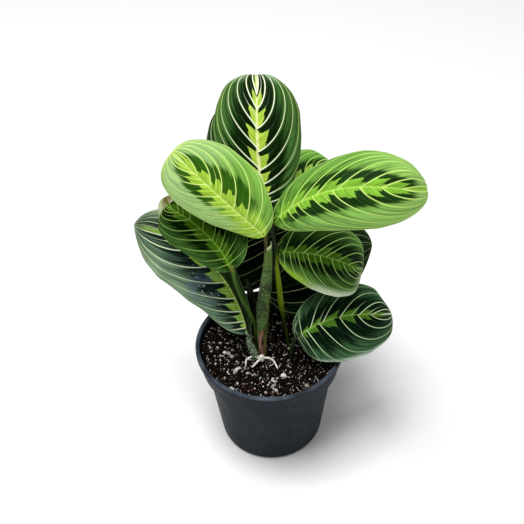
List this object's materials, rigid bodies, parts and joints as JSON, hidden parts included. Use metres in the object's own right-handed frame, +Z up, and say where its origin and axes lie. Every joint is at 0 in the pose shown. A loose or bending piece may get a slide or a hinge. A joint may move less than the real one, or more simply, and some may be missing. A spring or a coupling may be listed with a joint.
{
  "type": "potted prayer plant",
  "caption": "Potted prayer plant (maranta) with patterned oval leaves on slender stalks, standing in perlite-flecked soil in a round tapered nursery pot.",
  "frame": {"origin": "centre of the pot's underside", "axes": "+Z up; the side that shows the plant best looks towards -Y, with +X to its right"},
  "size_m": [0.1879, 0.1461, 0.2586],
  "materials": {
    "pot": "charcoal moulded polypropylene, satin, slightly lighter on the lip",
    "soil": "damp peat mix with white perlite",
    "root": "pale surface roots",
    "stalk": "soft green stalk, finely ribbed",
    "dried_sheath": "dry brown papery sheath",
    "old_sheath": "spent olive sheath",
    "leaf_dark": "satin leaf, dark green with pale veins and a lime feather along the midrib",
    "leaf_bright": "satin leaf, fresh green with dark patches, lime feather and pale veins",
    "leaf_shaded": "satin leaf, mid green with dark patches and pale veins"
  },
  "bodies": {
    "root": {"pot": "pot", "soil": "soil", "surface_roots": "root", "shoot_main": "stalk", "shoot_rear": "stalk", "dried_sheath": "dried_sheath", "old_sheath": "old_sheath", "leaf_top": "leaf_dark", "leaf_upper_left": "leaf_bright", "leaf_upper_right": "leaf_bright", "leaf_rear_right": "leaf_bright", "leaf_left_middle": "leaf_shaded", "leaf_left_lower": "leaf_dark", "leaf_left_rear": "leaf_dark", "leaf_right_middle": "leaf_shaded", "leaf_right_lower": "leaf_dark", "leaf_right_rear": "leaf_dark", "leaf_top_rear": "leaf_dark"}
  },
  "joints": []
}
